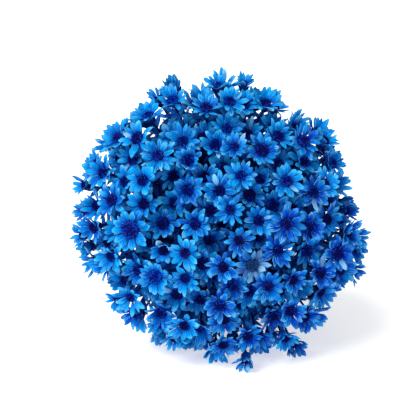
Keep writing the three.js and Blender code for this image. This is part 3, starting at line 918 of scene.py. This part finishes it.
# Small narrow leaves along the stalks and the upper part of the stem. Each is at an even chance between just
# below the flower and the joint, and points along the cross product of the stalk and a chance direction.
def leafletsOf(some, share, top):
    perStalk, perStem = leafletForm["perStalk"], leafletForm["perStem"]
    start, bend, joint = (points.repeat(perStalk, 0) for points in stalkPoints(some, share))
    upper = np.sqrt(((start - bend) ** 2).sum(1))
    lower = np.sqrt(((bend - joint) ** 2).sum(1))
    below = leafletForm["belowFlower"]
    along = np.minimum(below, upper + lower) + rng.random(len(start)) * np.maximum(upper + lower - below, 0)
    onUpper = (along < upper)[:, None]
    root = np.where(onUpper, start + (bend - start) * (along / upper)[:, None],
                    bend + (joint - bend) * ((along - upper) / lower)[:, None])
    lift = np.where(onUpper, unit(start - bend), unit(bend - joint))
    places = top - leafletForm["downStem"] * rng.random(perStem)
    root = np.concatenate([root, onFlow(share, places)])
    lift = np.concatenate([lift, unit(onFlow(share, places + 1) - onFlow(share, places))])
    side = unit(np.cross(lift, rng.normal(size=lift.shape)))
    count = len(root)
    # smaller towards the rim of the head
    size = 0.75 + 0.5 * rng.random(count)
    size = size * np.clip(1.45 - np.hypot(root[:, 0], root[:, 1]) / 60, 0.5, 1)
    tone = rng.random((3, count))[0]
    # how near the head's surface: the length of the place measured in the dome's own radii, from 0.6 to 0.9
    off = root - headMiddle
    level = np.hypot(off[:, 0], off @ headUp) / bunch["headRadius"]
    nearness = np.clip((np.hypot(level, off @ headFront / bunch["headDepth"]) - 0.6) / 0.3, 0, 1)
    # painted light: leaflets lighter near the head's surface, and painted shade deeper in
    tone = tone + leafletForm["paintedLightOut"] * nearness
    angle = leafletForm["leastOpen"] + leafletForm["openSpread"] * rng.random(count)
    return blades(leafletForm, root, side, lift, angle, leafletForm["length"] * size,
                  leafletForm["width"] * size, stemTint(tone))


# One larger leaf on each stem, which rises at a fixed angle
def leafOf(share, turn):
    root = onFlow(share, np.float64(stemForm["leafPlace"]))[None]
    out = np.array([[math.cos(turn), math.sin(turn), 0]])
    lift = np.array([[0.0, 0, 1]])
    angle, length, width = (np.array([stemForm[key]]) for key in ("leafOpen", "leafLength", "leafWidth"))
    return blades(leafForm, root, out, lift, angle, length, width, stemTint(np.array([0.8])))


# Flowers differ in how open they are and in their dye, with painted light that lightens the petals towards the
# upper left and the discs towards the top
variety = {
    "light": 0.46,  # how light the dye is, from 0 to 1, and the painted light that each mm across and up adds
    "paintedLightAcross": -0.004,
    "paintedLightUp": 0.01,
    "lightSpread": 0.7,
    "discSpread": 0.7,
    "paintedLightDiscUp": 0.014,
    "largeDisc": 2.8,  # mm, above which a disc is lighter by the next value
    "largeLighter": 0.5,
    "blown": 0.3,
    "palePlace": (10.7, -16.6),  # the flower nearest this place, across and up, is nearly undyed
}
for flower in flowers:
    across, up = flower["middle"][:2]
    spread = variety["lightSpread"] * (rng.random() - 0.5)
    # painted light: the dye lightens towards the upper left, where the light falls
    light = variety["light"] + variety["paintedLightAcross"] * across + variety["paintedLightUp"] * max(up, -5)
    flower["glow"] = min(max(light + spread, 0), 1)
    lighter = variety["largeLighter"] if flower["disc"] > variety["largeDisc"] else 0
    # a random tone, painted light that lightens discs the higher they stand, and lighter large discs
    flower["discTone"] = variety["discSpread"] * rng.random() + variety["paintedLightDiscUp"] * max(up, 0) + lighter
    flower["violet"] = max(0, rng.random() * 1.6 - 0.8)
    flower["pale"] = 0
    flower["shut"] = max(rng.random() * 2.4 - 1.75, 0)
    flower["blown"] = variety["blown"] * rng.random()
    flower["blownTo"] = 6.283 * rng.random()
min(flowers, key=lambda flower: math.dist(flower["middle"][:2], variety["palePlace"]))["pale"] = 0.95

for k, share in enumerate(sprigShares):
    some = [flower for flower in flowers if flower["sprig"] == k]
    node = f"sprig_{k + 1:02d}"
    top = max(jointHeight(flower) for flower in some) + 0.8
    stems = cupsOf(some)
    stems += [stalksOf(some, share), stemOf(share, sprigEnds[k], top)]
    stems += [leafOf(share, leafTurns[k]), leafletsOf(some, share, top)]
    addPiece(f"stems_{k + 1:02d}", stems, stemMaterial, node)
    addPiece(f"discs_{k + 1:02d}", discsOf(some), floretMaterial, node)
    addPiece(f"petals_{k + 1:02d}", [petalsOf(some)], petalMaterial, node)
print("sprigs made:", len(sprigShares))

bandForm = {
    "turns": 4,
    "pitch": 1.25,  # mm from turn to turn
    "cord": 0.62,  # mm, half its width
    "flat": 0.8,  # its thickness as a share of its width
    "sides": 10,
    "stemRadius": 0.86,
    "wound": 0.86,  # the share of the loop that winds, before the strand that crosses back
    "over": 1.02,  # mm that the crossing strand stands off
    "stations": 320,
}


# A band stretched round the stems. In each direction the stems reach as far as their furthest place that way.
# The band's distance at an angle is the least of reach / cos(direction - angle) over the directions near it.
def bandRadius(turn):
    direction = evenTurns(360)
    stems = onFlow(sprigShares, np.zeros(len(sprigShares)))
    reach = (stems[:, :1] * np.cos(direction) + stems[:, 1:2] * np.sin(direction)).max(0)
    reach = reach + bandForm["stemRadius"]
    facing = np.cos(direction - turn[:, None])
    inside = np.where(facing > 0.5, reach / np.maximum(facing, 0.5), 99).min(1)
    return inside + bandForm["cord"] * bandForm["flat"]


# A closed loop: a helix round the stems, then a strand that crosses back over it. There the height follows a
# smoothstep, and the radius the square root of half a sine. The last ring joins the first.
def elasticBand():
    stations = bandForm["stations"]
    share = np.arange(stations) / stations
    wound = np.minimum(share / bandForm["wound"], 1)
    back = np.clip((share - bandForm["wound"]) / (1 - bandForm["wound"]), 0, 1)
    half = bandForm["turns"] * bandForm["pitch"] / 2
    z = half * (2 * wound - 1) - 2 * half * (3 * back ** 2 - 2 * back ** 3)
    turn = 2 * math.pi * (bandForm["turns"] * wound + back)
    radius = bandRadius(turn) + bandForm["over"] * np.sin(math.pi * back) ** 0.5
    path = np.stack([radius * np.cos(turn), radius * np.sin(turn), z], 1)
    along = unit(np.roll(path, -1, 0) - np.roll(path, 1, 0))
    outward = np.stack([np.cos(turn), np.sin(turn), 0 * turn], 1)
    side = unit(np.cross(outward, along))
    up = np.cross(along, side)
    sides = bandForm["sides"]
    angle = evenTurns(sides)
    section = bandForm["cord"] * np.stack([np.cos(angle), bandForm["flat"] * np.sin(angle)], 1)
    rings = path[:, None] + side[:, None] * section[:, :1] + up[:, None] * section[:, 1:]
    station, place = np.divmod(np.arange(stations * sides), sides)
    nextPlace, nextStation = (place + 1) % sides, (station + 1) % stations
    quads = np.stack([station * sides + place, station * sides + nextPlace,
                      nextStation * sides + nextPlace, nextStation * sides + place], 1)
    u, v = place / sides, station / stations
    uv = np.stack([u, v, u + 1 / sides, v, u + 1 / sides, v + 1 / stations, u, v + 1 / stations], 1)
    return {
        "points": rings.reshape(-1, 3),
        "quads": quads,
        "fans": np.empty((0, 3), int),
        "uv": uv.reshape(-1, 2),
        "tint": np.full((stations * sides, 4), 0.5),
    }


addPiece("elastic_band", [elasticBand()], rubberMaterial, "band")
print("band made")

# Room: a wide white table top, a white surround and one broad soft light from the upper left
room = {
    "tableSize": 6.0,
    "tableColour": "#ffffff",
    "tableGlow": 0.5,
    "ceiling": 0.38,
    "walls": 0.92,
    "ceilingFrom": [0.05, 0.5],  # the heights that the walls fade between
}
keyLight = {"from": (-0.6, -0.65, 1.05), "strength": 2.66, "spread": math.radians(35)}
tableMesh = bpy.data.meshes.new("table")
reach = room["tableSize"] / 2
tableMesh.from_pydata([(-reach, -reach, 0), (reach, -reach, 0), (reach, reach, 0), (-reach, reach, 0)],
                      [], [(0, 1, 2, 3)])
# White painted board: matt, and lit a little from within so that it stays white in the shade
material, add, shader = newMaterial("paintedBoard")
feed(shader, {
    "Roughness": 0.9,
    "Specular IOR Level": 0.2,
    "Base Color": linear(room["tableColour"]),
    "Emission Color": linear(room["tableColour"]),
    "Emission Strength": room["tableGlow"],
})
tableMesh.materials.append(material)
addObject("table", tableMesh)

# White walls that fall off to a dimmer ceiling
world = bpy.data.worlds.new("surround")
world.use_nodes = True
add = partial(addNode, world.node_tree)
outwards = add("TexCoord")["Generated"]
height = add("SeparateXYZ", {0: outwards})["Z"]
strength = add("MapRange", {
    "Value": height,
    "From Min": room["ceilingFrom"][0],
    "From Max": room["ceilingFrom"][1],
    "To Min": room["walls"],
    "To Max": room["ceiling"],
}, interpolation_type="SMOOTHSTEP")[0]
feed(world.node_tree.nodes["Background"], {"Color": (1, 1, 1, 1), "Strength": strength})
bpy.context.scene.world = world

keyData = bpy.data.lights.new("key", "SUN")
keyData.energy = keyLight["strength"]
keyData.angle = keyLight["spread"]
addObject("key", keyData).rotation_euler = Vector(keyLight["from"]).to_track_quat("Z", "Y").to_euler()

# Camera: faces the head along its own direction, from the distance that the apparent places were read at
cameraView = {"distance": 0.5, "shownWidth": 0.157, "shift": 0.00393}
cameraData = bpy.data.cameras.new("camera")
cameraData.angle = 2 * math.atan(cameraView["shownWidth"] / 2 / cameraView["distance"])
camera = addObject("camera", cameraData)
rightRoom = np.array([1.0, 0, 0])
headFrontRoom = headFront @ bunchAxes
headUpRoom = headUp @ bunchAxes
apex = toRoom(headMiddle + headFront * bunch["headDepth"])
eye = apex + headFrontRoom * cameraView["distance"] + (headUpRoom - rightRoom) * cameraView["shift"]
axes = Matrix([rightRoom, headUpRoom, headFrontRoom]).transposed().to_4x4()
camera.matrix_world = Matrix.Translation(Vector(eye)) @ axes
bpy.context.scene.camera = camera
bpy.context.scene.view_settings.view_transform = "Standard"
print("room, light and camera made")
